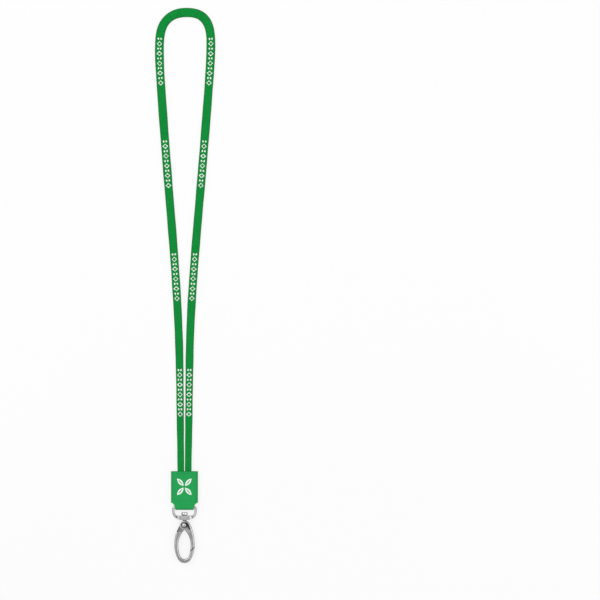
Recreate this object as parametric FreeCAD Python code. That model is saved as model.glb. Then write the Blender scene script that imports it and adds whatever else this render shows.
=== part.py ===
import FreeCAD, Part
import math
import os


def vec(x, y, z=0.0):
    return FreeCAD.Vector(x, y, z)


# Lanyard with a folded woven label, a swivel ring and an oval snap hook, lying face up.
# Millimetres. +X across the label, +Y towards the top of the neck loop, +Z up from the surface.
# The origin is under the middle of the label and hook together, on the surface.

MID_Z = 2.9  # mid-plane of the label, ring and hook above the surface
TOP_Z = 2 * MID_Z
FLAT_TOL = 1e-6

# Neck strap: flattened tubular webbing, one length, both ends sewn inside the label.
STRAP_WIDTH = 8.0
STRAP_THICK = 2.3
LYING_Z = STRAP_THICK / 2
STRAP_ROUTE = [
    (-4.15, 27.0, MID_Z),
    (-4.15, 56.0, MID_Z),
    (-4.2, 84.0, LYING_Z),
    (-4.45, 120.0, LYING_Z),
    (-5.6, 176.0, LYING_Z),
    (-9.6, 243.0, LYING_Z),
    (-16.5, 328.0, LYING_Z),
    (-21.9, 401.0, LYING_Z),
    (-24.2, 440.0, LYING_Z),
    (-23.3, 463.0, LYING_Z),
    (-16.7, 474.1, LYING_Z),
    (-7.1, 479.3, LYING_Z),
    (11.2, 479.3, LYING_Z),
    (19.4, 474.4, LYING_Z),
    (24.8, 463.1, LYING_Z),
    (25.2, 442.0, LYING_Z),
    (22.6, 403.0, LYING_Z),
    (16.8, 329.0, LYING_Z),
    (9.3, 241.0, LYING_Z),
    (5.5, 178.0, LYING_Z),
    (4.4, 122.0, LYING_Z),
    (4.2, 84.0, LYING_Z),
    (4.15, 56.0, MID_Z),
    (4.15, 27.0, MID_Z),
]
ARC_SHARE = 0.45  # share of the shorter run that each rounded corner takes

# Folded label.
LABEL_WIDTH = 25.5
LABEL_TOP = 43.5
LABEL_FOLD = 6.75
LABEL_HALF = 2.4  # half the thickness of the flat middle
LABEL_FRONT = MID_Z + LABEL_HALF
LABEL_EDGE = 2.5  # thickness where the two layers are sewn together
FLAT_HALF = 8.7  # half-width of the full-thickness middle
NOTCH_X = 4.1
NOTCH_Y = 6.9
POCKET_HALF = 8.25
POCKET_LOW = 27.0
STITCH_INSET = 1.8
STITCH_LONG = 2.2
STITCH_PITCH = 3.0
STITCH_WIDE = 0.45
STITCH_HIGH = 0.3

# Ring that the label folds round, with the flat pad that the hook swivels in.
WIRE_R = 1.1
BAR_Y = LABEL_FOLD + LABEL_HALF
BAR_CLEARANCE = 0.05
BAR_HALF = 9.3
BAR_CORNER_R = 1.35
RING_HALF = BAR_HALF + BAR_CORNER_R
RING_BEND_R = 7.2
PAD_HALF = 7.2
PAD_TOP = 1.6
PAD_LOW = -2.4
PAD_END_R = 2.6
PAD_RIM = 0.4

# Swivel: a post on the hook, through the pad, with a button fixed on its end.
POST_R = 1.4
POST_CLEARANCE = 0.05
POST_TOP = 3.85
BUTTON_R = 2.9
BUTTON_ROUND = 0.5
BUTTON_LOW = 2.05
BUTTON_TOP = 4.4
BUTTON_NECK_R = 2.25
BUTTON_NECK_LOW = 1.7
COLLAR_R = 2.15
COLLAR_TOP = -2.5
COLLAR_STEP = -2.9
COLLAR_LOW = -3.25
COLLAR_LOW_R = 1.95

# Oval of the hook and gate, drawn with tangent arcs.
WIDEST_Y = -26.5
OUTER = {"half": 9.6, "top": -3.39, "top_r": 6.1, "low": -43.5, "low_r": 7.0}
INNER = {"half": 5.95, "top": -12.3, "top_r": 0.8, "low": -39.8, "low_r": 4.6}
ARM_HALF = 2.2  # half the thickness of the arms
ARM_ROUND = 1.2
PANEL_RIM = 1.0  # raised rim each side of the sunk panel along the arms
PANEL_DEPTH = 0.35

# Gate pivot.
PIVOT_X = -0.3
PIVOT_Y = -7.8
EYE_R = 4.3
EYE_HALF = 2.4  # half the thickness across the eye
EYE_FRONT = MID_Z + EYE_HALF
EYE_ROUND = 0.45
RECESS_R = 2.95
RECESS_DEPTH = 0.85
TAIL_DEPTH = 1.15
SLOT_HALF = 1.0
SLOT_R = 4.75
TONGUE_HALF = 0.9
TONGUE_R = 4.1
NECK_HALF = 1.2
SHANK_R = 1.0
SHANK_CLEARANCE = 0.05
HEAD_R = 2.35
HEAD_GAP = 0.1
HEAD_RISE = 1.05
HEAD_SHOULDER = 0.2  # share of the rise at the head's edge
HEAD_CROWN_R = 0.6 * HEAD_R
HEAD_CROWN = 0.8
HEAD_DIMPLE_R = 0.4
HEAD_DIMPLE = 0.8

# Gate mouth: a slanted parting line on the right arm.
MOUTH_X = 7.75
MOUTH_Y = -30.1
MOUTH_GAP = 0.15
MOUTH_REACH = 9.0
MOUTH_LAP = 1.5  # how far the nose's back half runs under the gate's front half

# Plan corners (X, Y) of the regions that part the oval into hook and gate.
HOOK_SHOULDER = [(0, -15.1), (-12, -11.7), (-12, -46), (12, -46)]
TONGUE_ROOT = [(PIVOT_X, -6.0), (PIVOT_X, -16.5), (-12, -14.2), (-12, -6.0)]
GATE_SHOULDER = [(14, 0), (0.9, 0), (0.0, -13)]
SLOT_MOUTH = [(-5, -9), (2.8, -9), (2.8, -14.2), (-5, -14.2)]
PANEL_ENDS = [(-12, -12.9), (0, -16.3), (12, -11.0), (12, -46), (-12, -46)]

# Smooth curves in plan: the left shoulder's outline, and the recess's tail, out and back.
SHOULDER_LINE = [(-3.9, -5.6), (-4.6, -7.6), (-5.6, -9.8), (-6.8, -12.2), (-8.0, -15.0), (-9.3, -19.5)]
TAIL_OUT = [(0.2, -5.0), (1.9, -4.95), (3.5, -6.1), (4.8, -8.9), (6.1, -13.6)]
TAIL_BACK = [(6.1, -13.6), (4.6, -11.7), (3.0, -10.6), (0.6, -10.3)]

# Small cuts in the front face: a slit in the left arm and a nick in the right shoulder.
SLIT_SIZE = vec(1.5, 0.6, 2.0)
SLIT_AT = vec(-7.1, -13.75, MID_Z + ARM_HALF - 0.9)
SLIT_TURN = -17.0
NICK_SIZE = vec(1.6, 1.1, 1.4)
NICK_AT = vec(6.75, -9.1, MID_Z + 1.3)
NICK_TURN = -25.0

# Torsion spring round the pivot, in a pocket of the tongue.
SPRING_WIRE_R = 0.2
SPRING_R = 1.7
SPRING_PITCH = 0.42
SPRING_TURNS = 1.75
SPRING_LOW = MID_Z - 0.2
SPRING_POCKET_R = 2.3
SPRING_LEG = 2.6
LEG_SLOT = 0.8


def line(a, b):
    return Part.LineSegment(a, b).toShape()


def box(low, high):
    size = high - low
    return Part.makeBox(size.x, size.y, size.z, low)


def rod(radius, start, end):
    """A round bar between two points."""
    along = end - start
    return Part.makeCylinder(radius, along.Length, start, along)


def plate(points, low, high):
    """A straight-sided plate from its corners in plan, between two heights."""
    corners = [vec(x, y, low) for x, y in points]
    outline = Part.makePolygon(corners + corners[:1])
    return Part.Face(outline).extrude(vec(0, 0, high - low))


def curve(points):
    """A smooth curve in plan through these points."""
    spline = Part.BSplineCurve()
    spline.interpolate([vec(x, y) for x, y in points])
    return spline.toShape()


def curved_plate(edges, low, high):
    """A plate whose outline is made of these edges at height zero, in order."""
    outline = Part.Wire(Part.__sortEdges__(edges))
    return Part.Face(outline).extrude(vec(0, 0, high - low)).translated(vec(0, 0, low))


def egg_wire(half, top, top_r, low, low_r, z):
    """An upright oval of six tangent arcs, mirrored left to right."""

    def side_radius(end_r, end_y):
        rise = abs(end_y - WIDEST_Y) - end_r
        return (half**2 + rise**2 - end_r**2) / (2 * (half - end_r))

    def meeting(end_r, end_centre_y):
        """Where the side arc on the right meets the end arc."""
        radius = side_radius(end_r, end_centre_y + math.copysign(end_r, end_centre_y - WIDEST_Y))
        side_centre = vec(half - radius, WIDEST_Y, z)
        toward = vec(0, end_centre_y, z) - side_centre
        toward.normalize()
        turn = math.atan2(toward.y, toward.x) / 2
        middle = side_centre + vec(math.cos(turn), math.sin(turn), 0) * radius
        return side_centre + toward * radius, middle

    top_meet, top_middle = meeting(top_r, top - top_r)
    low_meet, low_middle = meeting(low_r, low + low_r)
    widest = vec(half, WIDEST_Y, z)

    def left(point):
        return vec(-point.x, point.y, point.z)

    arcs = [
        Part.Arc(left(top_meet), vec(0, top, z), top_meet),
        Part.Arc(top_meet, top_middle, widest),
        Part.Arc(widest, low_middle, low_meet),
        Part.Arc(low_meet, vec(0, low, z), left(low_meet)),
        Part.Arc(left(low_meet), left(low_middle), left(widest)),
        Part.Arc(left(widest), left(top_middle), left(top_meet)),
    ]
    return Part.Wire([arc.toShape() for arc in arcs])


def grown(size, more):
    """The same oval with every arc moved outwards."""
    return {
        "half": size["half"] + more,
        "top": size["top"] + more,
        "top_r": size["top_r"] + more,
        "low": size["low"] - more,
        "low_r": size["low_r"] + more,
    }


def egg_plate(size, low, high):
    return Part.Face(egg_wire(z=low, **size)).extrude(vec(0, 0, high - low))


def both_faces(make):
    """A shape on the front, and the same one turned over on the back."""
    front = make()
    return front.fuse(front.mirror(vec(0, 0, MID_Z), vec(0, 0, 1)))


def neck_strap():
    """The webbing: straight runs joined by tangent arcs, with a flat section kept level."""
    points = [vec(*p) for p in STRAP_ROUTE]
    edges = []
    radii = []
    at = points[0]
    for before, corner, after in zip(points, points[1:], points[2:]):
        run_in = corner - before
        run_out = after - corner
        turn = run_in.getAngle(run_out)
        cut = ARC_SHARE * min(run_in.Length, run_out.Length)
        run_in.normalize()
        run_out.normalize()
        start = corner - run_in * cut
        end = corner + run_out * cut
        radius = cut / math.tan(turn / 2)
        radii.append(round(radius, 1))
        inward = run_out - run_in
        inward.normalize()
        middle = corner + inward * (radius / math.cos(turn / 2) - radius)
        edges.append(line(at, start))
        edges.append(Part.Arc(start, middle, end).toShape())
        at = end
    edges.append(line(at, points[-1]))
    path = Part.Wire(edges)
    half = STRAP_WIDTH / 2
    low = STRAP_THICK / 2
    start = points[0]
    corners = [
        start + vec(x, 0, z) for x, z in ((-half, -low), (half, -low), (half, low), (-half, low))
    ]
    section = Part.makePolygon(corners + corners[:1])
    sweep = Part.BRepOffsetAPI.MakePipeShell(path)
    sweep.setBiNormalMode(vec(0, 0, 1))
    sweep.add(section)
    sweep.build()
    sweep.makeSolid()
    strap = sweep.shape()
    expected = STRAP_WIDTH * STRAP_THICK * path.Length
    print("strap bend radii, mm:", radii)
    print(f"strap length {path.Length:.1f} mm, volume {strap.Volume:.0f} of {expected:.0f} mm3")
    return strap


def label_plan():
    """The label's outline in plan, with the two quarter-oval notches beside the fold."""
    half = LABEL_WIDTH / 2
    top = LABEL_TOP
    low = LABEL_FOLD
    body_low = LABEL_FOLD + NOTCH_Y
    neck = half - NOTCH_X
    notch = Part.Ellipse(vec(0, 0), NOTCH_Y, NOTCH_X)
    notch.Axis = vec(0, 0, 1)
    notch.rotate(FreeCAD.Placement(vec(0, 0, 0), vec(0, 0, 1), 90))
    right = notch.copy()
    right.translate(vec(half, low))
    left = notch.copy()
    left.translate(vec(-half, low))
    return [
        line(vec(-half, body_low), vec(-half, top)),
        line(vec(-half, top), vec(half, top)),
        line(vec(half, top), vec(half, body_low)),
        Part.ArcOfEllipse(right, 0.0, math.pi / 2).toShape(),
        line(vec(neck, low), vec(-neck, low)),
        Part.ArcOfEllipse(left, -math.pi / 2, 0.0).toShape(),
    ]


def label_solid():
    """The folded label before its thread is let in: full in the middle, thin at the sewn sides."""
    outline = Part.Wire(Part.__sortEdges__(label_plan()))
    body = Part.Face(outline).extrude(vec(0, 0, TOP_Z))
    half = LABEL_WIDTH / 2
    thin = LABEL_EDGE / 2
    back = MID_Z - LABEL_HALF
    section = [
        (-half, MID_Z - thin),
        (-FLAT_HALF, back),
        (FLAT_HALF, back),
        (half, MID_Z - thin),
        (half, MID_Z + thin),
        (FLAT_HALF, LABEL_FRONT),
        (-FLAT_HALF, LABEL_FRONT),
        (-half, MID_Z + thin),
    ]
    corners = [vec(x, LABEL_FOLD, z) for x, z in section]
    pillow = Part.Face(Part.makePolygon(corners + corners[:1]))
    body = body.common(pillow.extrude(vec(0, LABEL_TOP - LABEL_FOLD, 0)))
    rounded = rod(LABEL_HALF, vec(-half, BAR_Y, MID_Z), vec(half, BAR_Y, MID_Z))
    above = box(vec(-half, BAR_Y, back), vec(half, LABEL_TOP, LABEL_FRONT))
    body = body.common(rounded.fuse(above))
    bore = rod(WIRE_R + BAR_CLEARANCE, vec(-half, BAR_Y, MID_Z), vec(half, BAR_Y, MID_Z))
    pocket = box(
        vec(-POCKET_HALF, POCKET_LOW, MID_Z - STRAP_THICK / 2),
        vec(POCKET_HALF, LABEL_TOP, MID_Z + STRAP_THICK / 2),
    )
    return body.cut(bore).cut(pocket)


def stitch_row(start, end, tilt):
    """Stitches along one seam on the front face; tilt turns them to lie on the sloping sides."""
    along = end - start
    count = int(along.Length // STITCH_PITCH)
    step = along / count
    stitches = []
    for i in range(count):
        middle = start + step * (i + 0.5)
        stitch = Part.makeBox(STITCH_LONG, STITCH_WIDE, STITCH_HIGH)
        stitch.translate(vec(-STITCH_LONG / 2, -STITCH_WIDE / 2, -STITCH_HIGH / 2))
        stitch.rotate(vec(0, 0), vec(0, 0, 1), math.degrees(math.atan2(along.y, along.x)))
        stitch.rotate(vec(0, 0), vec(0, 1, 0), tilt)
        stitch.translate(middle)
        stitches.append(stitch)
    return stitches


def label_stitching():
    """Lockstitch thread round the label body, half sunk in its front and back."""
    half = LABEL_WIDTH / 2 - STITCH_INSET
    top = LABEL_TOP - STITCH_INSET
    low = LABEL_FOLD + NOTCH_Y + STITCH_INSET
    slope = (LABEL_HALF - LABEL_EDGE / 2) / (LABEL_WIDTH / 2 - FLAT_HALF)
    tilt = math.degrees(math.atan(slope))
    side_z = LABEL_FRONT - slope * (half - FLAT_HALF)
    end = FLAT_HALF - STITCH_WIDE
    rows = [
        stitch_row(vec(half, low, side_z), vec(half, top, side_z), tilt),
        stitch_row(vec(-half, low, side_z), vec(-half, top, side_z), -tilt),
        stitch_row(vec(-end, top, LABEL_FRONT), vec(end, top, LABEL_FRONT), 0),
        stitch_row(vec(-end, low, LABEL_FRONT), vec(end, low, LABEL_FRONT), 0),
    ]
    front = [stitch for row in rows for stitch in row]
    back = [stitch.mirror(vec(0, 0, MID_Z), vec(0, 0, 1)) for stitch in front]
    return Part.makeCompound(front + back)


def d_ring():
    """Round wire ring: straight bar at the top, sides curving in to the pad at the bottom."""
    low_y = PAD_LOW + WIRE_R
    bend_y = low_y + RING_BEND_R
    corner_y = BAR_Y - BAR_CORNER_R
    low_half = RING_HALF - RING_BEND_R
    edges = []
    for side in (1, -1):
        bend_at = math.sqrt(0.5) * RING_BEND_R
        corner_at = math.sqrt(0.5) * BAR_CORNER_R
        bar_end = vec(side * BAR_HALF, BAR_Y, MID_Z)
        corner_end = vec(side * RING_HALF, corner_y, MID_Z)
        bend_start = vec(side * RING_HALF, bend_y, MID_Z)
        bend_end = vec(side * low_half, low_y, MID_Z)
        corner_middle = vec(side * (BAR_HALF + corner_at), corner_y + corner_at, MID_Z)
        bend_middle = vec(side * (low_half + bend_at), bend_y - bend_at, MID_Z)
        edges += [
            line(vec(0, BAR_Y, MID_Z), bar_end),
            Part.Arc(bar_end, corner_middle, corner_end).toShape(),
            line(corner_end, bend_start),
            Part.Arc(bend_start, bend_middle, bend_end).toShape(),
            line(bend_end, vec(0, low_y, MID_Z)),
        ]
    path = Part.Wire(Part.__sortEdges__(edges))
    section = Part.Wire(Part.makeCircle(WIRE_R, vec(0, BAR_Y, MID_Z), vec(1, 0, 0)))
    sweep = Part.BRepOffsetAPI.MakePipeShell(path)
    sweep.setBiNormalMode(vec(0, 0, 1))
    sweep.add(section)
    sweep.build()
    sweep.makeSolid()
    ring = sweep.shape()
    pad = box(vec(-PAD_HALF, PAD_LOW, 0), vec(PAD_HALF, PAD_TOP, TOP_Z))
    upright = [e for e in pad.Edges if abs(e.tangentAt(e.FirstParameter).y) > 0.5]
    pad = pad.makeFillet(PAD_END_R, upright)
    rim = [e for e in pad.Edges if abs(e.BoundBox.YLength) < FLAT_TOL]
    pad = pad.makeFillet(PAD_RIM, rim)
    within = box(vec(-low_half, PAD_LOW), vec(low_half, PAD_TOP, TOP_Z))
    for side in (1, -1):
        bend_centre = vec(side * low_half, bend_y)
        within = within.fuse(rod(RING_BEND_R + WIRE_R, bend_centre, bend_centre + vec(0, 0, TOP_Z)))
    pad = pad.common(within)
    bore = rod(POST_R + POST_CLEARANCE, vec(0, PAD_LOW - 1, MID_Z), vec(0, PAD_TOP + 1, MID_Z))
    return ring.fuse(pad).removeSplitter().cut(bore)


def swivel_button():
    """The turned cap on the end of the swivel post."""
    cap = rod(BUTTON_R, vec(0, BUTTON_LOW, MID_Z), vec(0, BUTTON_TOP, MID_Z))
    cap = cap.makeFillet(BUTTON_ROUND, [e for e in cap.Edges if e.Closed])
    neck = rod(BUTTON_NECK_R, vec(0, BUTTON_NECK_LOW, MID_Z), vec(0, BUTTON_LOW + 1, MID_Z))
    bore = rod(POST_R, vec(0, BUTTON_NECK_LOW - 1, MID_Z), vec(0, POST_TOP, MID_Z))
    return cap.fuse(neck).removeSplitter().cut(bore)


def oval_body():
    """The whole oval link, rounded on its edges, before it is parted into hook and gate."""
    low = MID_Z - ARM_HALF
    high = MID_Z + ARM_HALF
    link = egg_plate(OUTER, low, high).cut(egg_plate(INNER, low - 1, high + 1))
    flat = [e for e in link.Edges if abs(e.BoundBox.ZLength) < FLAT_TOL]
    link = link.makeFillet(ARM_ROUND, flat)

    def panel():
        floor = high - PANEL_DEPTH
        band = egg_plate(grown(OUTER, -PANEL_RIM), floor, TOP_Z)
        band = band.cut(egg_plate(grown(INNER, PANEL_RIM), floor - 1, TOP_Z + 1))
        return band.common(plate(PANEL_ENDS, floor, TOP_Z))

    return link.cut(both_faces(panel))


def mouth_side(lift):
    """Two points of the slanting parting line at the gate's mouth, moved up and left by lift."""
    shift = lift * math.sqrt(2)
    return [
        (MOUTH_X - MOUTH_REACH, MOUTH_Y - MOUTH_REACH + shift),
        (MOUTH_X + MOUTH_REACH, MOUTH_Y + MOUTH_REACH + shift),
    ]


def spring_leg_lines():
    """Start and end of the spring's two legs: tangents at the two ends of the coil."""
    lines = []
    for angle, z, way in (
        (0.0, SPRING_LOW, -1),
        (360.0 * SPRING_TURNS, SPRING_LOW + SPRING_PITCH * SPRING_TURNS, 1),
    ):
        turn = math.radians(angle)
        start = vec(PIVOT_X + SPRING_R * math.cos(turn), PIVOT_Y + SPRING_R * math.sin(turn), z)
        along = vec(-math.sin(turn), math.cos(turn), 0) * way
        lines.append((start, start + along * SPRING_LEG))
    return lines


def hook_frame(link):
    """The hook: left arm, bottom and nose, a thin tongue at the pivot, and the swivel post."""
    lap_z = MID_Z - MOUTH_GAP / 2
    front_low, front_high = mouth_side(-MOUTH_GAP / 2)
    back_low, back_high = mouth_side(MOUTH_LAP - MOUTH_GAP / 2)
    front = plate(HOOK_SHOULDER + [front_high, front_low], lap_z, TOP_Z)
    back = plate(HOOK_SHOULDER + [back_high, back_low], 0, lap_z)
    arm = link.common(front.fuse(back).removeSplitter())
    low = MID_Z - TONGUE_HALF
    high = MID_Z + TONGUE_HALF
    root = egg_plate(OUTER, low, high).cut(egg_plate(INNER, low - 1, high + 1))
    root = root.common(plate(TONGUE_ROOT, low, high))
    top, foot = SHOULDER_LINE[0], SHOULDER_LINE[-1]
    outside = [
        curve(SHOULDER_LINE),
        line(vec(*foot), vec(-14, foot[1])),
        line(vec(-14, foot[1]), vec(-14, top[1])),
        line(vec(-14, top[1]), vec(*top)),
    ]
    relief = curved_plate(outside, 0, TOP_Z)
    arm = arm.cut(relief)
    root = root.cut(relief)
    pivot = vec(PIVOT_X, PIVOT_Y, 0)
    disc = rod(TONGUE_R, pivot + vec(0, 0, low), pivot + vec(0, 0, high))
    neck = box(vec(-NECK_HALF, PIVOT_Y, low), vec(NECK_HALF, COLLAR_STEP, high))
    collar = rod(COLLAR_LOW_R, vec(0, COLLAR_LOW, MID_Z), vec(0, COLLAR_STEP, MID_Z))
    flange = rod(COLLAR_R, vec(0, COLLAR_STEP, MID_Z), vec(0, COLLAR_TOP, MID_Z))
    post = rod(POST_R, vec(0, COLLAR_STEP, MID_Z), vec(0, POST_TOP, MID_Z))
    frame = arm.fuse([root, disc, neck, collar, flange, post]).removeSplitter()
    shank = rod(SHANK_R, pivot, pivot + vec(0, 0, TOP_Z))
    pocket_low = SPRING_LOW - 2 * SPRING_WIRE_R
    pocket = rod(SPRING_POCKET_R, pivot + vec(0, 0, pocket_low), pivot + vec(0, 0, high))
    frame = frame.cut(shank).cut(pocket)
    for start, end in spring_leg_lines():
        channel = Part.makeBox(SPRING_LEG + LEG_SLOT / 2, LEG_SLOT, high - pocket_low)
        channel.translate(vec(0, -LEG_SLOT / 2, pocket_low))
        along = end - start
        channel.rotate(vec(0, 0), vec(0, 0, 1), math.degrees(math.atan2(along.y, along.x)))
        channel.translate(vec(start.x, start.y, 0))
        frame = frame.cut(channel)
    slit = box(vec(0, 0), SLIT_SIZE)
    slit.rotate(vec(0, 0), vec(0, 0, 1), SLIT_TURN)
    slit.translate(SLIT_AT)
    return frame.cut(slit)


def hook_gate(link):
    """The gate: a slotted eye that straddles the tongue, and the right arm down to the mouth."""
    lap_z = MID_Z + MOUTH_GAP / 2
    front_low, front_high = mouth_side(MOUTH_GAP / 2)
    back_low, back_high = mouth_side(MOUTH_LAP + MOUTH_GAP / 2)
    front = plate(GATE_SHOULDER + [front_low, front_high], lap_z, TOP_Z)
    back = plate(GATE_SHOULDER + [back_low, back_high], 0, lap_z)
    arm = link.common(front.fuse(back).removeSplitter())
    pivot = vec(PIVOT_X, PIVOT_Y, 0)
    eye = rod(EYE_R, pivot + vec(0, 0, MID_Z - EYE_HALF), pivot + vec(0, 0, EYE_FRONT))
    eye = eye.makeFillet(EYE_ROUND, [e for e in eye.Edges if e.Closed])
    gate = arm.fuse(eye).removeSplitter()
    slot_low = MID_Z - SLOT_HALF
    slot_high = MID_Z + SLOT_HALF
    slot = rod(SLOT_R, pivot + vec(0, 0, slot_low), pivot + vec(0, 0, slot_high))
    mouth = plate(SLOT_MOUTH, slot_low, slot_high)
    bore = rod(SHANK_R + SHANK_CLEARANCE, pivot, pivot + vec(0, 0, TOP_Z))

    def recess():
        floor = EYE_FRONT - RECESS_DEPTH
        well = rod(RECESS_R, pivot + vec(0, 0, floor), pivot + vec(0, 0, TOP_Z))
        start, end = TAIL_OUT[0], TAIL_BACK[-1]
        edges = [curve(TAIL_OUT), curve(TAIL_BACK), line(vec(*end), vec(*start))]
        tail = curved_plate(edges, EYE_FRONT - TAIL_DEPTH, TOP_Z)
        return well.fuse(tail).removeSplitter()

    gate = gate.cut(slot.fuse(mouth)).cut(bore).cut(both_faces(recess))
    nick = box(NICK_SIZE / -2, NICK_SIZE / 2)
    nick.rotate(vec(0, 0), vec(0, 0, 1), NICK_TURN)
    nick.translate(NICK_AT)
    return gate.cut(nick)


def gate_rivet():
    """The pivot pin: a shank with a low domed head on each side, sunk in the eye."""
    base = EYE_FRONT - RECESS_DEPTH + HEAD_GAP
    foot = vec(HEAD_R, 0, base)
    shoulder = vec(HEAD_R, 0, base + HEAD_SHOULDER * HEAD_RISE)
    crown = vec(HEAD_CROWN_R, 0, base + HEAD_CROWN * HEAD_RISE)
    top = vec(HEAD_DIMPLE_R, 0, base + HEAD_RISE)
    dimple = vec(0, 0, base + HEAD_DIMPLE * HEAD_RISE)
    profile = [
        line(vec(0, 0, base), foot),
        line(foot, shoulder),
        Part.Arc(shoulder, crown, top).toShape(),
        line(top, dimple),
        line(dimple, vec(0, 0, base)),
    ]
    head = Part.Face(Part.Wire(profile))
    head = head.revolve(vec(0, 0), vec(0, 0, 1), 360)
    head = both_faces(lambda: head)
    shank = rod(SHANK_R, vec(0, 0, TOP_Z - base), vec(0, 0, base))
    rivet = head.fuse(shank).removeSplitter()
    rivet.translate(vec(PIVOT_X, PIVOT_Y, 0))
    return rivet


def gate_spring():
    """The torsion spring: a short coil with a straight leg at each end."""
    height = SPRING_PITCH * SPRING_TURNS
    helix = Part.makeHelix(SPRING_PITCH, height, SPRING_R)
    helix.translate(vec(PIVOT_X, PIVOT_Y, SPRING_LOW))
    start = vec(PIVOT_X + SPRING_R, PIVOT_Y, SPRING_LOW)
    section = Part.Wire(Part.makeCircle(SPRING_WIRE_R, start, vec(0, 1, 0)))
    coil = Part.Wire(helix).makePipeShell([section], True, True)
    legs = [rod(SPRING_WIRE_R, a, b) for a, b in spring_leg_lines()]
    return coil.fuse(legs)


def main():
    os.makedirs("parts", exist_ok=True)
    link = oval_body()
    thread = label_stitching()
    parts = {
        "neck_strap": neck_strap(),
        "fold_over_label": label_solid().cut(thread),
        "label_stitching": thread,
        "swivel_ring": d_ring(),
        "swivel_button": swivel_button(),
        "hook_frame": hook_frame(link),
        "hook_gate": hook_gate(link),
        "gate_rivet": gate_rivet(),
        "gate_spring": gate_spring(),
    }
    for name, shape in parts.items():
        shape.exportStep(f"parts/{name}.step")
        print(name, "valid" if shape.isValid() else "INVALID", len(shape.Solids), round(shape.Volume, 2))


main()
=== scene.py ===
import math

import bmesh
import bpy
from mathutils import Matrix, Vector


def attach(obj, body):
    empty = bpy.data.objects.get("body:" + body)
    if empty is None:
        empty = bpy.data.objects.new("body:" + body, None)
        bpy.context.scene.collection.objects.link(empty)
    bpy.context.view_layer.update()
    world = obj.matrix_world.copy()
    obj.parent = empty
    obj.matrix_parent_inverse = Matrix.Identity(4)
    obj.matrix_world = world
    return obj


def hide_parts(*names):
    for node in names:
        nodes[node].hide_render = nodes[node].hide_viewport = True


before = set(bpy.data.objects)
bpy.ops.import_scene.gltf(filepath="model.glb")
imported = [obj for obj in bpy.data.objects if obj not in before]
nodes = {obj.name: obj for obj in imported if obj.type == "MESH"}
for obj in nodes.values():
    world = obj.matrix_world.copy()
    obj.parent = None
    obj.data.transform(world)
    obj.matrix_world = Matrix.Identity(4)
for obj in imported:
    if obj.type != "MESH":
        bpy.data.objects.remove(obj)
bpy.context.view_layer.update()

bpy.ops.object.select_all(action="DESELECT")

# Camera: straight above the lanyard as it lies face up, with the neck loop's top away from us.
# A long lens from three metres, so the strap's two sides keep their true widths.
camera_data = bpy.data.cameras.new("camera")
camera_data.sensor_width = 36.0
camera_data.lens = 189.5
camera_data.clip_end = 30.0
camera = bpy.data.objects.new("camera", camera_data)
camera.location = (0.1096, 0.2060, 3.0)
bpy.context.scene.collection.objects.link(camera)
bpy.context.scene.camera = camera
bpy.context.scene.view_settings.view_transform = "Standard"


# Neck strap: one length of flat tubular polyester webbing, knitted in fine ribs, with a white
# woven motif that repeats along it. Both ends are sewn between the two layers of the label.
strap_route = [
    (-0.00345, 0.0270, 0.00290),
    (-0.00345, 0.0480, 0.00290),
    (-0.00400, 0.0840, 0.00116),
    (-0.00430, 0.1200, 0.00116),
    (-0.00530, 0.1760, 0.00116),
    (-0.00935, 0.2430, 0.00116),
    (-0.01645, 0.3280, 0.00116),
    (-0.02195, 0.4010, 0.00116),
    (-0.02430, 0.4400, 0.00116),
    (-0.02310, 0.4626, 0.00116),
    (-0.01630, 0.4736, 0.00116),
    (-0.00570, 0.4790, 0.00116),
    (0.00980, 0.4790, 0.00116),
    (0.01910, 0.4740, 0.00116),
    (0.02465, 0.4629, 0.00116),
    (0.02520, 0.4420, 0.00116),
    (0.02260, 0.4030, 0.00116),
    (0.01670, 0.3290, 0.00116),
    (0.00905, 0.2410, 0.00116),
    (0.00515, 0.1780, 0.00116),
    (0.00430, 0.1200, 0.00116),
    (0.00400, 0.0840, 0.00116),
    (0.00345, 0.0480, 0.00290),
    (0.00345, 0.0270, 0.00290),
]
strap_curve = bpy.data.curves.new("strap_line", "CURVE")
strap_curve.dimensions = "3D"
strap_curve.resolution_u = 36
strap_spline = strap_curve.splines.new("NURBS")
strap_spline.points.add(len(strap_route) - 1)
for point, place in zip(strap_spline.points, strap_route):
    point.co = (*place, 1.0)
strap_spline.order_u = 3
strap_spline.use_endpoint_u = True
strap_line = bpy.data.objects.new("strap_line", strap_curve)
bpy.context.scene.collection.objects.link(strap_line)
bpy.context.view_layer.update()
strap_line_mesh = bpy.data.meshes.new_from_object(strap_line)
strap_path = [v.co.copy() for v in strap_line_mesh.vertices]
bpy.data.objects.remove(strap_line)
bpy.data.meshes.remove(strap_line_mesh)

# Width of the webbing against its height on the table: gathered at the label, open at the top.
strap_widths = [
    (0.0, 0.00620),
    (0.045, 0.00625),
    (0.058, 0.00645),
    (0.090, 0.00675),
    (0.150, 0.00735),
    (0.186, 0.00765),
    (0.270, 0.00780),
    (0.370, 0.00805),
    (0.420, 0.00810),
    (0.455, 0.00840),
    (0.480, 0.00870),
]
strap_half_thick = 0.00113
strap_section_points = 32
strap_squareness = 0.62  # power that flattens the oval's top and bottom
bend_reach = 4  # points each way over which the strap's bend is measured
pucker_full_radius = 0.025  # bend at which the puckers are at their deepest
pucker_from = 0.25  # share of that bend at which they begin
crease_height = 0.00013


def strap_width(y):
    for (y0, w0), (y1, w1) in zip(strap_widths, strap_widths[1:]):
        if y <= y1:
            return w0 + (w1 - w0) * (y - y0) / (y1 - y0)
    return strap_widths[-1][1]


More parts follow.
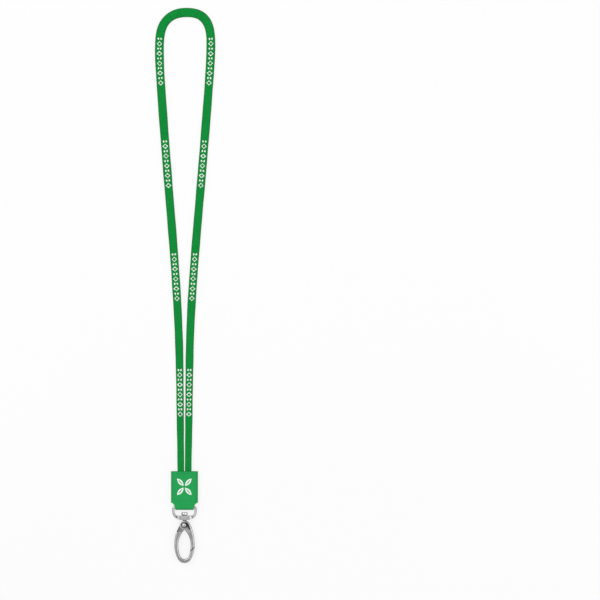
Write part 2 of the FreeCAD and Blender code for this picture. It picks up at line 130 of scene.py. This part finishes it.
def strap_section(half_width, half_thick):
    """Flat oval from the middle of the underside round: (across, up, distance round)."""
    ring = []
    for i in range(strap_section_points + 1):
        turn = 2 * math.pi * i / strap_section_points - math.pi / 2
        x = math.copysign(abs(math.cos(turn)) ** strap_squareness, math.cos(turn)) * half_width
        z = math.copysign(abs(math.sin(turn)) ** strap_squareness, math.sin(turn)) * half_thick
        ring.append([x, z, 0.0])
    for before, after in zip(ring, ring[1:]):
        after[2] = before[2] + math.hypot(after[0] - before[0], after[1] - before[1])
    middle = ring[-1][2] / 2
    return [(x, z, round_by - middle) for x, z, round_by in ring]


strap_along = [0.0]
for before, after in zip(strap_path, strap_path[1:]):
    strap_along.append(strap_along[-1] + (after - before).length)
strap_length = strap_along[-1]

strap_vertices = []
strap_rims = []  # 0 along the middle, 1 at the two edges
strap_creases = []  # puckers where the flat strap is bent sideways
strap_marks = []
for i, at in enumerate(strap_path):
    ahead = strap_path[min(i + 1, len(strap_path) - 1)]
    behind = strap_path[max(i - 1, 0)]
    forward = (ahead - behind).normalized()
    aside = Vector((forward.y, -forward.x, 0)).normalized()
    upward = aside.cross(forward)
    reach = max(0, min(i, len(strap_path) - 1 - i, bend_reach))
    turned = 0.0
    if reach:
        into = at - strap_path[i - reach]
        out = strap_path[i + reach] - at
        turned = into.angle(out) / ((into.length + out.length) / 2)
    bend = min(1.0, max(0.0, (turned * pucker_full_radius - pucker_from) / (1 - pucker_from)))
    along = strap_along[i]
    pucker = math.sin(along / 0.00066 + 1.3 * math.sin(along / 0.0027))
    pucker += 0.6 * math.sin(along / 0.00041 + 2.0 * math.sin(along / 0.0051))
    wander = 0.00007 * math.sin(along / 0.0091) + 0.00005 * math.sin(along / 0.0043 + 1.0)
    half_width = strap_width(at.y) / 2 + wander * 0.8
    for x, z, round_by in strap_section(half_width, strap_half_thick)[:-1]:
        lift = z
        crease = 0.0
        if z > 0:
            inner = 0.5 + 0.5 * x / half_width
            crease = bend * pucker * (0.3 + 0.7 * inner)
            lift = z + crease_height * crease * (z / strap_half_thick) + wander * 0.5
        strap_vertices.append(at + aside * x + upward * lift)
        strap_rims.append(abs(x) / half_width)
        strap_creases.append(0.5 + 0.3 * crease)
    strap_marks.append((along, half_width))

strap_faces = []
strap_uvs = []
count = strap_section_points
for i in range(len(strap_path) - 1):
    for j in range(count):
        k = (j + 1) % count
        corner = [(i, j), (i, k), (i + 1, k), (i + 1, j)]
        strap_faces.append([a * count + b for a, b in corner])
        for a, b in [(i, j), (i, j + 1), (i + 1, j + 1), (i + 1, j)]:
            along, half_width = strap_marks[a]
            section = strap_section(half_width, strap_half_thick)
            strap_uvs.append((along, 0.5 + section[b][2]))
for i in (0, len(strap_path) - 1):
    cap = [i * count + j for j in range(count)]
    strap_faces.append(cap[::-1] if i == 0 else cap)
    strap_uvs += [(strap_marks[i][0], 0.5)] * count

strap_mesh = bpy.data.meshes.new("neck_strap_webbing")
strap_mesh.from_pydata(strap_vertices, [], strap_faces)
strap_uv = strap_mesh.uv_layers.new(name="webbing")
for loop, uv in zip(strap_uv.data, strap_uvs):
    loop.uv = uv
for name, values in (("rim", strap_rims), ("crease", strap_creases)):
    strap_mesh.attributes.new(name, "FLOAT", "POINT").data.foreach_set("value", values)
strap_mesh.polygons.foreach_set("use_smooth", [True] * len(strap_mesh.polygons))
neck_strap = bpy.data.objects.new("neck_strap_webbing", strap_mesh)
bpy.context.scene.collection.objects.link(neck_strap)
turn_out = bmesh.new()
turn_out.from_mesh(strap_mesh)
bmesh.ops.recalc_face_normals(turn_out, faces=turn_out.faces)
turn_out.to_mesh(strap_mesh)
turn_out.free()


class Value:
    """A number or colour that changes over a surface, with ordinary arithmetic."""

    def __init__(self, finish, socket):
        self.finish = finish
        self.socket = socket

    def do(self, operation, *others):
        values = dict(enumerate([self, *others]))
        return self.finish.value("ShaderNodeMath", {"operation": operation}, values)

    def __add__(self, other):
        return self.do("ADD", other)

    def __radd__(self, other):
        return self.do("ADD", other)

    def __sub__(self, other):
        return self.do("SUBTRACT", other)

    def __rsub__(self, other):
        return (self * -1.0) + other

    def __mul__(self, other):
        return self.do("MULTIPLY", other)

    def __rmul__(self, other):
        return self.do("MULTIPLY", other)

    def __truediv__(self, other):
        return self.do("DIVIDE", other)

    def __mod__(self, other):
        return self.do("FLOORED_MODULO", other)

    def __abs__(self):
        return self.do("ABSOLUTE")

    def __lt__(self, other):
        return self.do("LESS_THAN", other)

    def __gt__(self, other):
        return self.do("GREATER_THAN", other)

    def floor(self):
        return self.do("FLOOR")

    def wave(self):
        """A sine that repeats once for each unit, from 0 to 1."""
        return (self * (2 * math.pi)).do("SINE") * 0.5 + 0.5

    def lowest(self, other):
        return self.do("MINIMUM", other)

    def highest(self, other):
        return self.do("MAXIMUM", other)

    def ramp(self, low, high):
        """0 below low, 1 above high, smooth between."""
        settings = {"interpolation_type": "SMOOTHSTEP"}
        values = {"Value": self, "From Min": low, "From Max": high}
        return self.finish.value("ShaderNodeMapRange", settings, values)


class Finish:
    """A material for one piece, built up from values."""

    def __init__(self, name):
        self.material = bpy.data.materials.new(name)
        self.material.use_nodes = True
        self.tree = self.material.node_tree
        self.tree.nodes.clear()

    def node(self, kind, settings, values):
        made = self.tree.nodes.new(kind)
        for key, setting in settings.items():
            setattr(made, key, setting)
        for key, given in values.items():
            if isinstance(given, Value):
                self.tree.links.new(given.socket, made.inputs[key])
            else:
                made.inputs[key].default_value = given
        return made

    def value(self, kind, settings, values, output=0):
        return Value(self, self.node(kind, settings, values).outputs[output])

    def noise(self, place, size, detail=3.0, distortion=0.0):
        """Cloudy variation whose patches are about size metres across, near 0.5."""
        values = {"Vector": place, "Scale": 1.0 / size, "Detail": detail}
        values["Distortion"] = distortion
        return self.value("ShaderNodeTexNoise", {}, values, "Fac")

    def mix(self, share, first, second):
        """Colour from first to second as share goes from 0 to 1."""
        values = {0: share, 6: first, 7: second}
        return self.value("ShaderNodeMix", {"data_type": "RGBA"}, values, 2)

    def bump(self, height, depth, normal=None):
        values = {"Height": height, "Distance": depth, "Strength": 1.0}
        if normal is not None:
            values["Normal"] = normal
        return self.value("ShaderNodeBump", {}, values, "Normal")

    def finish(self, values):
        """The surface itself; values are the shader's own sockets."""
        surface = self.node("ShaderNodeBsdfPrincipled", {}, values)
        end = self.node("ShaderNodeOutputMaterial", {}, {})
        self.tree.links.new(surface.outputs[0], end.inputs["Surface"])
        return self.material


webbing_green = (0.0025, 0.233, 0.0335, 1.0)
# The next colour is the darker green of the webbing's painted shade.
webbing_shade = (0.0020, 0.085, 0.0200, 1.0)
webbing_light = (0.0054, 0.313, 0.0490, 1.0)
webbing_white = (0.880, 0.960, 0.900, 1.0)
motif_centres = [0.0916, 0.2015, 0.3091, 0.4067]  # metres from the nearer end of the strap
motif_half = 0.0233
motif_cell = 0.00466
yarn = 0.00038
lozenge_long = 0.0024
lozenge_wide = 0.0026
lozenge_hollow = 0.66  # share of a lozenge that stays green inside its white outline
pair_long = 0.0012
pair_wide = 0.0009
pair_aside = 0.00125  # from the strap's middle to each small lozenge of a pair
rib_pitch = 0.0008
knit_pitch = 0.0010

webbing = Finish("strap_webbing")
spot = webbing.value("ShaderNodeUVMap", {"uv_map": "webbing"}, {}, "UV")
split = webbing.node("ShaderNodeSeparateXYZ", {}, {"Vector": spot})
along = Value(webbing, split.outputs["X"])
across = Value(webbing, split.outputs["Y"]) - 0.5
place = webbing.value("ShaderNodeTexCoord", {}, {}, "Object")

stepped_along = ((along / yarn).floor() + 0.5) * yarn
stepped_across = abs(((across / yarn).floor() + 0.5) * yarn)
from_end = stepped_along.lowest(strap_length - stepped_along)
in_motif = 0.0
in_place = 0.0
for centre in motif_centres:
    offset = from_end - centre
    inside = abs(offset) < motif_half
    in_motif = inside + in_motif
    in_place = inside * offset + in_place
in_place = in_place + motif_half
cell = (in_place / motif_cell).floor()
in_cell = abs(in_place - (cell + 0.5) * motif_cell)
lozenge = in_cell / lozenge_long + stepped_across / lozenge_wide
lozenge_ring = (lozenge < 1.0) * (lozenge > lozenge_hollow)
pair = (in_cell / pair_long + abs(stepped_across - pair_aside) / pair_wide) < 1.0
odd = cell % 2.0
motif = in_motif * (odd * pair + (1.0 - odd) * lozenge_ring)

rib_side = abs((across / rib_pitch) % 1.0 * 2.0 - 1.0)
knit = (along / knit_pitch + rib_side * 0.5).wave()
yarn_height = knit * 0.45 + (1.0 - rib_side * rib_side) * 0.55
cloudy = webbing.noise(place, 0.011, 4.0)
slub = webbing.noise(place, 0.0021, 3.0)
fibre = webbing.noise(place, 0.0006, 2.0)
rim = webbing.value("ShaderNodeAttribute", {"attribute_name": "rim"}, {}, "Fac")
crease = webbing.value("ShaderNodeAttribute", {"attribute_name": "crease"}, {}, "Fac")
shade = cloudy.ramp(0.35, 0.7) * 0.20 + slub.ramp(0.36, 0.64) * 0.30 + fibre * 0.15
green = webbing.mix(shade, webbing_green, webbing_light)
# Painted shade: darker in the knit's hollows, along the strap's two rounded edges and in the
# valleys of the puckers where it bends.
webbing_painted_shade = (1.0 - yarn_height) * 0.18 + rim.ramp(0.74, 0.97) * 0.55
webbing_painted_shade = webbing_painted_shade + (0.5 - crease).ramp(0.02, 0.40) * 0.30
green = webbing.mix(webbing_painted_shade.lowest(1.0), green, webbing_shade)
colour = webbing.mix(motif * (0.86 + fibre * 0.2), green, webbing_white)
height = yarn_height + motif * 0.5 + fibre * 0.3
neck_strap.data.materials.append(
    webbing.finish(
        {
            "Base Color": colour,
            "Roughness": 0.80 - motif * 0.1 + fibre * 0.1,
            "Sheen Weight": 0.04,
            "Sheen Roughness": 0.45,
            "Sheen Tint": (0.2, 0.9, 0.4, 1.0),
            "Specular IOR Level": 0.10,
            "Normal": webbing.bump(height, 0.00009),
        }
    )
)
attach(neck_strap, "lanyard")
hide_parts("neck_strap")

# Label: one piece of damask-woven ribbon, folded round the ring's bar and sewn together at its
# sides, with a scooped corner each side of the fold. Its mouth holds the two strap ends.
label_half = 0.01275
label_top = 0.0435
label_fold = 0.00675
label_mid = 0.0029
label_bar = 0.00915
label_apart = 0.00182  # from the middle plane to the middle of each layer
label_sewn = 0.00056
label_thick = 0.0010
notch_wide = 0.0041
notch_high = 0.0069
notch_top = label_fold + notch_high
pocket_half = 0.0090  # half-width that the strap's ends hold open
seam_flat = 0.0117  # from here outwards the two layers are sewn together
bar_clear = 0.0104  # up to here the layers stay apart round the bar
seam_low_end = 0.0142
crown_height = 0.00010
ripple_height = 0.00004


def ease(value, low, high):
    share = min(1.0, max(0.0, (value - low) / (high - low)))
    return share * share * (3 - 2 * share)


def label_half_at(y):
    """Half-width of the label at a height: full, or scooped beside the fold."""
    if y >= notch_top:
        return label_half
    share = max(0.0, y - label_fold) / notch_high
    return label_half - notch_wide * math.sqrt(max(0.0, 1 - share * share))


def label_gap(x, y):
    """Distance of each layer's middle from the middle plane."""
    sewn = ease(abs(x), pocket_half, seam_flat) * ease(y, bar_clear, seam_low_end)
    crown = crown_height * (1 - min(1.0, abs(x) / pocket_half) ** 2) * ease(y, 0.012, 0.020)
    ripple = ripple_height * math.sin(x / 0.0021 + 0.6) * math.sin(y / 0.0037)
    return label_apart + (label_sewn - label_apart) * sewn + crown + ripple * (1 - sewn)


label_rows = []
for i in range(34):
    label_rows.append((label_top - (label_top - notch_top) * i / 34, 1.0))
bar_turn = math.asin((label_bar - label_fold) / notch_high)
for i in range(12):
    turn = math.pi / 2 + (bar_turn - math.pi / 2) * i / 12
    label_rows.append((label_fold + notch_high * math.sin(turn), 1.0))
label_back = [(y, -1.0) for y, lift in reversed(label_rows)]
for i in range(17):
    turn = math.pi * i / 16
    label_rows.append((label_bar - label_apart * math.sin(turn), math.cos(turn)))
label_rows += label_back

label_columns = 57
label_vertices = []
for y, lift in label_rows:
    for i in range(label_columns):
        x = label_half_at(y) * (2 * i / (label_columns - 1) - 1)
        label_vertices.append((x, y, label_mid + lift * label_gap(x, y)))
label_faces = []
for i in range(len(label_rows) - 1):
    for j in range(label_columns - 1):
        at = i * label_columns + j
        label_faces.append((at, at + label_columns, at + label_columns + 1, at + 1))
label_mesh = bpy.data.meshes.new("folded_label")
label_mesh.from_pydata(label_vertices, [], label_faces)
folded_label = bpy.data.objects.new("folded_label", label_mesh)
bpy.context.scene.collection.objects.link(folded_label)
bpy.ops.object.select_all(action="DESELECT")
folded_label.select_set(True)
bpy.context.view_layer.objects.active = folded_label
wall = folded_label.modifiers.new("wall", "SOLIDIFY")
wall.thickness = label_thick
wall.offset = 0.0
soft_edge = folded_label.modifiers.new("soft_edge", "BEVEL")
soft_edge.width = 0.00028
soft_edge.segments = 3
soft_edge.limit_method = "ANGLE"
soft_edge.angle_limit = math.radians(55)
bpy.ops.object.modifier_apply(modifier="wall")
bpy.ops.object.modifier_apply(modifier="soft_edge")
bpy.ops.object.shade_smooth_by_angle(angle=math.radians(50))

label_green = (0.0172, 0.374, 0.0910, 1.0)
# The next colour is the label's darker green, used for its tone, its painted shade and the
# thread.
label_deep_and_shade = (0.0095, 0.185, 0.0470, 1.0)
label_white = (0.940, 0.985, 0.950, 1.0)
leaf_from = (0.0007, 0.0009)
leaf_to = (0.0068, 0.0078)
motif_middle = (-0.0001, 0.0289)
leaf_long = math.dist(leaf_from, leaf_to)
leaf_way = [(b - a) / leaf_long for a, b in zip(leaf_from, leaf_to)]
leaf_middle = [(a + b) / 2 for a, b in zip(leaf_from, leaf_to)]
leaf_half_wide = 0.00188
vein_half_long = 0.0033
vein_half_wide = 0.00052
pick = 0.00018  # pitch of the label's fine weave

damask = Finish("label_fabric")
place = damask.value("ShaderNodeTexCoord", {}, {}, "Object")
split = damask.node("ShaderNodeSeparateXYZ", {}, {"Vector": place})
x = Value(damask, split.outputs["X"])
y = Value(damask, split.outputs["Y"])
z = Value(damask, split.outputs["Z"])
leaf_x = abs(((x / pick).floor() + 0.5) * pick - motif_middle[0]) - leaf_middle[0]
leaf_y = abs(((y / pick).floor() + 0.5) * pick - motif_middle[1]) - leaf_middle[1]
leaf_along = leaf_x * leaf_way[0] + leaf_y * leaf_way[1]
leaf_aside = abs(leaf_x * leaf_way[1] - leaf_y * leaf_way[0])
taper = leaf_along / (leaf_long / 2)
leaf = leaf_aside < (1.0 - taper * taper) * leaf_half_wide
vein_taper = leaf_along / vein_half_long
vein = leaf_aside < (1.0 - vein_taper * vein_taper) * vein_half_wide
leaves = leaf * (1.0 - vein)
weft = (y / (2 * pick)).wave()
warp = (x / (2 * pick) + (y / (2 * pick)).floor() * 0.5).wave()
weave = weft * 0.6 + warp * 0.4
cloudy = damask.noise(place, 0.009, 3.0)
slub = damask.noise(place, 0.0016, 3.0)
fibre = damask.noise(place, 0.0005, 2.0)
# Painted shade along the label's two sides and top edge, and over its fold round the bar.
rim = abs(x).ramp(0.01185, 0.01265).highest(y.ramp(0.0428, 0.0434))
rim = rim.highest(1.0 - y.ramp(0.0069, 0.0080))
# Random tone, painted shade on the weave's low threads, and darker towards the top.
shade = cloudy.ramp(0.3, 0.75) * 0.10 + slub.ramp(0.35, 0.65) * 0.08 + (1.0 - weave) * 0.10
shade = shade + y.ramp(0.030, 0.043) * 0.07
green = damask.mix(shade, label_green, label_deep_and_shade)
green = damask.mix(rim * 0.60, green, label_deep_and_shade)
colour = damask.mix(leaves * (0.90 + fibre * 0.15), green, label_white)
height = weave * 0.6 + leaves * 0.8 + fibre * 0.3
folded_label.data.materials.append(
    damask.finish(
        {
            "Base Color": colour,
            "Roughness": 0.62 - leaves * 0.1 + fibre * 0.12,
            "Sheen Weight": 0.04,
            "Sheen Roughness": 0.4,
            "Sheen Tint": (0.2, 0.9, 0.4, 1.0),
            "Specular IOR Level": 0.12,
            "Normal": damask.bump(height, 0.00005),
        }
    )
)
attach(folded_label, "lanyard")
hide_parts("fold_over_label")

# Label stitching: lockstitch in green polyester thread, a row down each sewn side and across
# the label above the scoops and below the mouth, sunk in the front and back layers.
stitch_length = 0.0023
stitch_radius = 0.00023
seam_side = label_half - 0.0018
seam_top = label_top - 0.0018
seam_low = notch_top + 0.0018
seam_end = 0.00825
seams = [
    ((seam_side, seam_low), (seam_side, seam_top), 8),
    ((-seam_side, seam_low), (-seam_side, seam_top), 8),
    ((-seam_end, seam_top), (seam_end, seam_top), 5),
    ((-seam_end, seam_low), (seam_end, seam_low), 5),
]
bpy.ops.object.select_all(action="DESELECT")
bpy.ops.mesh.primitive_uv_sphere_add(segments=10, ring_count=8, radius=1.0)
stitch = bpy.context.active_object
stitch.scale = (stitch_length / 2, stitch_radius, stitch_radius * 0.9)
bpy.ops.object.transform_apply(scale=True)
bpy.ops.object.shade_smooth()
stitches = []
for start, end, number in seams:
    turn = math.atan2(end[1] - start[1], end[0] - start[0])
    for i in range(number):
        share = (i + 0.5) / number
        sx = start[0] + (end[0] - start[0]) * share
        sy = start[1] + (end[1] - start[1]) * share
        out = label_gap(sx, sy) + label_thick / 2 + stitch_radius * 0.15
        for side in (1, -1):
            copy = bpy.data.objects.new("stitch", stitch.data.copy())
            copy.location = (sx, sy, label_mid + side * out)
            copy.rotation_euler = (0, 0, turn)
            bpy.context.scene.collection.objects.link(copy)
            stitches.append(copy)
bpy.data.objects.remove(stitch)
bpy.ops.object.select_all(action="DESELECT")
for copy in stitches:
    copy.select_set(True)
bpy.context.view_layer.objects.active = stitches[0]
bpy.ops.object.join()
label_thread = bpy.context.active_object
label_thread.name = "label_thread"
bpy.ops.object.transform_apply(location=True, rotation=True, scale=True)

thread_light = (0.0290, 0.400, 0.108, 1.0)

thread = Finish("label_thread")
place = thread.value("ShaderNodeTexCoord", {}, {}, "Object")
split = thread.node("ShaderNodeSeparateXYZ", {}, {"Vector": place})
twist = Value(thread, split.outputs["X"]) + Value(thread, split.outputs["Y"])
strand = (twist / 0.00032).wave()
fibre = thread.noise(place, 0.0004, 2.0)
colour = thread.mix(strand * 0.5 + fibre * 0.3, label_deep_and_shade, thread_light)
label_thread.data.materials.append(
    thread.finish(
        {
            "Base Color": colour,
            "Roughness": 0.48 + fibre * 0.15,
            "Specular IOR Level": 0.4,
            "Normal": thread.bump(strand + fibre * 0.4, 0.00004),
        }
    )
)
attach(label_thread, "lanyard")
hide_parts("label_stitching")


# Ring: round steel wire bent to a D, its ends brazed into the flat swivel pad, nickel plated
# and tumbled bright. It hangs in the label's fold.
class Place:
    """Where a point of the surface is, as three values in metres."""

    def __init__(self, finish):
        self.spot = finish.value("ShaderNodeTexCoord", {}, {}, "Object")
        split = finish.node("ShaderNodeSeparateXYZ", {}, {"Vector": self.spot})
        self.x = Value(finish, split.outputs["X"])
        self.y = Value(finish, split.outputs["Y"])
        self.z = Value(finish, split.outputs["Z"])

    def off_middle(self):
        """Height above or below the hardware's middle plane."""
        return abs(self.z - hardware_mid)

    def patch(self, x, y, wide, high, turn=0.0):
        """1 inside a turned rectangle in plan, fading over its last fifth of a millimetre."""
        c = math.cos(math.radians(turn))
        s = math.sin(math.radians(turn))
        across = abs((self.x - x) * c + (self.y - y) * s)
        up = abs((self.y - y) * c - (self.x - x) * s)
        inside_x = 1.0 - across.ramp(wide / 2 - 0.0002, wide / 2 + 0.00003)
        inside_y = 1.0 - up.ramp(high / 2 - 0.0002, high / 2 + 0.00003)
        return inside_x * inside_y


rubbed_tone = 0.72  # brightness of the plating's duller patches


def plated(name, base, rough, cast, painted_shade):
    """Nickel plate: faint cast grain and rubbed patches, darkened by painted shade where the
    given mask says.
    """
    finish = Finish(name)
    place = Place(finish)
    patches = finish.noise(place.spot, 0.0045, 4.0, 0.4)
    grain = finish.noise(place.spot, 0.00045, 3.0)
    rubbed = finish.noise(place.spot, 0.0016, 5.0, 1.5)
    tone = patches.ramp(0.35, 0.75) * 0.30 + grain * 0.10
    colour = finish.mix(tone, base, [c * rubbed_tone for c in base[:3]] + [1.0])
    colour = finish.mix(painted_shade(place), colour, nickel_shade)
    return finish.finish(
        {
            "Base Color": colour,
            "Metallic": 1.0,
            "Roughness": rough + rubbed.ramp(0.4, 0.75) * 0.08 + painted_shade(place) * 0.2,
            "Normal": finish.bump(grain * 0.7 + rubbed * 0.6, cast),
        }
    )


def coat(node, material):
    """Gives a CAD node's slots this finish, or adds one where it has none."""
    slots = nodes[node].material_slots
    if not slots:
        nodes[node].data.materials.append(material)
    for slot in slots:
        slot.material = material


hardware_mid = 0.0029
pad_front = 0.0050  # above this lie the front faces of the ring's pad and the button
arm_front = 0.00505  # below this lie the front faces of the hook's arms
nickel = (0.600, 0.600, 0.607, 1.0)
# Colour of the painted shade on the plated parts.
nickel_shade = (0.012, 0.012, 0.013, 1.0)


def ring_painted_shade(place):
    """Painted shade where the wire meets the pad's ends, on the pad's front towards its sides,
    on the sides and below the pad; a dark painted reflection mid-pad; the wire darker.
    """
    aside = abs(place.x)
    ends = aside.ramp(0.0068, 0.0075) * (1.0 - aside.ramp(0.0076, 0.0086)) * (place.y < 0.0025)
    dark_reflection = place.patch(-0.0001, -0.0007, 0.0012, 0.0006) * (place.z > pad_front)
    pad_side_shade = aside.ramp(0.0005, 0.0050) * 0.22 * (place.z > pad_front)
    outline_shade = 1.0 - place.off_middle().ramp(0.0003, 0.0011)
    wire = aside.ramp(0.0070, 0.0074).highest(place.y.ramp(0.0018, 0.0022))
    low = 1.0 - place.y.ramp(-0.0024, -0.0019)
    painted_shade = ends * 0.35 + dark_reflection * 0.9 + outline_shade * 0.48 + wire * 0.30 + pad_side_shade + low * 0.5
    return painted_shade.lowest(1.0)


ring_nickel = (0.780, 0.780, 0.786, 1.0)
coat("swivel_ring", plated("ring_nickel", ring_nickel, 0.22, 0.000009, ring_painted_shade))

# Swivel button: a turned metal cap, nickel plated. It is riveted on the end of the hook's post
# above the ring's pad, so the hook can't fall out but can spin.


def button_painted_shade(place):
    """Painted shade in the groove under the cap, on its rounded sides and along its top edge,
    and a dark painted reflection at its centre.
    """
    groove = 1.0 - place.y.ramp(0.00212, 0.00245)
    crown = place.y.ramp(0.00405, 0.00430)
    centre = place.patch(0.0001, 0.0033, 0.0005, 0.0010) * (place.z > pad_front)
    round_side = abs(place.x).ramp(0.0022, 0.0028)
    return (groove + centre * 0.9 + round_side * 0.85 + crown * 0.75).lowest(1.0)


coat("swivel_button", plated("button_nickel", ring_nickel, 0.20, 0.000007, button_painted_shade))

# Hook: die-cast zinc, nickel plated. Left arm, bend and nose are in one with the thin tongue and
# the swivel post. Painted shade darkens its sides, the sunk tongue, a slit, the mouth gap and
# the post.
pivot = (-0.0003, -0.0078)
mouth = (0.00775, -0.0301)


def side_painted_shade(place):
    """Painted shade on the sides below the rounded edge, and in the sunk panel along the arms.
    """
    outline_shade = 1.0 - place.off_middle().ramp(0.0014, 0.0021)
    panel = 1.0 - abs(place.off_middle() - 0.00185).ramp(0.00003, 0.00007)
    inward = 1.0 - abs(place.x).ramp(0.0050, 0.0085)
    lower = 1.0 - place.y.ramp(-0.0200, -0.0125)
    return outline_shade * 0.70 + panel * lower * inward * 0.30


# Painted shade along the gap between the gate's tip and the hook's nose.
def mouth_painted_shade(place):
    gap = abs((place.x - mouth[0]) - (place.y - mouth[1])) * math.sqrt(0.5)
    return (1.0 - gap.ramp(0.00022, 0.00060)) * (place.x > 0.0045)


def hook_painted_shade(place):
    # Painted shade on the sunk tongue, graded across it, in the slit, in the mouth gap, and on
    # the post and the line at its collar.
    tongue = (place.off_middle() < 0.00095) * place.y.ramp(-0.0165, -0.0150)
    slope = 0.50 + place.y.ramp(-0.0155, -0.0080) * 0.35 - place.x.ramp(-0.0062, -0.0030) * 0.15
    slit = place.patch(-0.0063, -0.01368, 0.0017, 0.0008, -17.0) * (place.z < arm_front)
    slit = slit * (place.z > 0.0040)
    post = (place.y > -0.0027) * 0.2 + place.patch(0.0, -0.00308, 0.006, 0.0005) * 0.8
    painted_shade = side_painted_shade(place) * (1.0 - tongue) + tongue * slope
    return (painted_shade + slit + mouth_painted_shade(place) * 0.75 + post).lowest(1.0)


coat("hook_frame", plated("hook_nickel", nickel, 0.27, 0.000012, hook_painted_shade))

# Gate: die-cast zinc, nickel plated. Its slotted eye straddles the hook's tongue, and the recess
# round the rivet runs out in a tail down the arm; painted shade fills both, darkest at the
# tail's deep end.


def gate_painted_shade(place):
    # Painted shade in the well round the rivet, darker towards its top, in the tail, in the nick
    # and in the mouth gap, over the side shade.
    out_x = place.x - pivot[0]
    out_y = place.y - pivot[1]
    off = (out_x * out_x + out_y * out_y).do("SQRT")
    sunk = place.off_middle() < 0.00170
    well = (off < 0.00305) * sunk
    from_right = (place.y + 0.0058) * -0.375 + 0.0038 - place.x
    left = place.y > (place.x - 0.0006) * -0.614 - 0.0108
    tail = (from_right > 0.0) * left * sunk * (place.x > 0.0002)
    deep = 0.98 - from_right.ramp(0.0009, 0.0032) * (1.0 - place.y.ramp(-0.0105, -0.0060)) * 0.62
    turned = (out_y + out_x * 0.4).ramp(-0.0026, 0.0000)
    recess = (well * (turned * 0.56 + 0.42)).highest(tail * deep)
    nick = place.patch(0.00675, -0.0091, 0.0018, 0.0013, -25.0) * (place.z > 0.0034)
    painted_shade = side_painted_shade(place) * (1.0 - well.highest(tail))
    return (painted_shade + recess + nick * (place.z < arm_front) + mouth_painted_shade(place) * 0.75).lowest(1.0)


coat("hook_gate", plated("gate_nickel", nickel, 0.26, 0.000012, gate_painted_shade))

# Gate rivet: a bright steel pin with a low domed head at each end. It is pressed through the
# hook's tongue, and its heads sit in the recesses of the gate's eye.


def rivet_painted_shade(place):
    """Painted shade in the round mark left by the riveting punch, on one side of the head, and
    in a line round the foot.
    """
    out_x = place.x - pivot[0]
    out_y = place.y - pivot[1]
    off = (out_x * out_x + out_y * out_y).do("SQRT")
    mark = 1.0 - off.ramp(0.00028, 0.00052)
    shaded_side = (out_x - out_y).ramp(-0.0006, 0.0026) * 0.35
    return (mark * 0.8 + shaded_side + off.ramp(0.00180, 0.00220) * 0.9).lowest(1.0)


rivet_steel = (0.600, 0.600, 0.604, 1.0)
coat("gate_rivet", plated("rivet_bright", rivet_steel, 0.33, 0.00001, rivet_painted_shade))

# Gate spring: hard-drawn steel wire, a short coil round the pin with a straight leg at each
# end. It lies in a pocket of the hook's tongue, and its force closes the gate.


# Bands of painted shade between the coil's turns, repeating every 0.7 mm up the pin.
def spring_painted_shade(place):
    return (place.z / 0.0007).wave() * 0.3


spring_steel = (0.480, 0.480, 0.490, 1.0)
coat("gate_spring", plated("spring_steel", spring_steel, 0.28, 0.000008, spring_painted_shade))

# Table and light: a pale lit table, a wide soft light high on the left and a smaller one on the
# right. The room is bright high up, dimmest just above the table, and dull straight overhead.
table_grey = (0.195, 0.195, 0.195, 1.0)
table_pale = (0.205, 0.205, 0.205, 1.0)
table_glow = 0.776
bpy.ops.object.select_all(action="DESELECT")
bpy.ops.mesh.primitive_plane_add(size=12.0, location=(0.1, 0.2, -0.00002))
table = bpy.context.active_object
table.name = "table"
bpy.ops.object.transform_apply(location=True)
table_finish = Finish("table")
place = table_finish.value("ShaderNodeTexCoord", {}, {}, "Object")
table_cloud = table_finish.noise(place, 0.35, 2.0)
table_colour = table_finish.mix(table_cloud, table_grey, table_pale)
table.data.materials.append(
    table_finish.finish(
        {
            "Base Color": table_colour,
            "Roughness": 0.9,
            "Specular IOR Level": 0.0,
            "Emission Color": (1.0, 1.0, 1.0, 1.0),
            "Emission Strength": table_glow,
        }
    )
)

room = bpy.data.worlds.new("room")
room.use_nodes = True
room_tree = room.node_tree
room_tree.nodes.clear()
room_spot = room_tree.nodes.new("ShaderNodeTexCoord")
room_split = room_tree.nodes.new("ShaderNodeSeparateXYZ")
room_ramp = room_tree.nodes.new("ShaderNodeValToRGB")
room_light = room_tree.nodes.new("ShaderNodeBackground")
room_end = room_tree.nodes.new("ShaderNodeOutputWorld")
room_tree.links.new(room_spot.outputs["Generated"], room_split.inputs[0])
room_tree.links.new(room_split.outputs["Z"], room_ramp.inputs[0])
room_tree.links.new(room_ramp.outputs[0], room_light.inputs["Color"])
room_tree.links.new(room_light.outputs[0], room_end.inputs["Surface"])
room_stops = room_ramp.color_ramp
room_stops.elements[0].position = 0.0
room_stops.elements[0].color = (0.50, 0.50, 0.50, 1.0)
room_stops.elements[1].position = 1.0
room_stops.elements[1].color = (0.52, 0.52, 0.52, 1.0)
room_levels = [  # share of the way from straight down to straight up, and brightness
    (0.35, 0.45),
    (0.48, 0.32),
    (0.61, 0.28),
    (0.74, 0.95),
    (0.88, 0.90),
    (0.96, 0.55),
]
for position, level in room_levels:
    stop = room_stops.elements.new(position)
    stop.color = (level, level, level, 1.0)
room_light.inputs["Strength"].default_value = 1.0
bpy.context.scene.world = room

lit_spot = Vector((0.0, 0.2, 0.0))
for name, spot, size, power in (
    ("high_light", (-0.9, 0.9, 1.3), 2.0, 16.5),
    ("side_light", (1.2, 0.1, 1.1), 1.5, 7.4),
):
    light_data = bpy.data.lights.new(name, "AREA")
    light_data.size = size
    light_data.energy = power
    light = bpy.data.objects.new(name, light_data)
    light.location = spot
    toward = lit_spot - Vector(spot)
    light.rotation_euler = toward.to_track_quat("-Z", "Y").to_euler()
    bpy.context.scene.collection.objects.link(light)
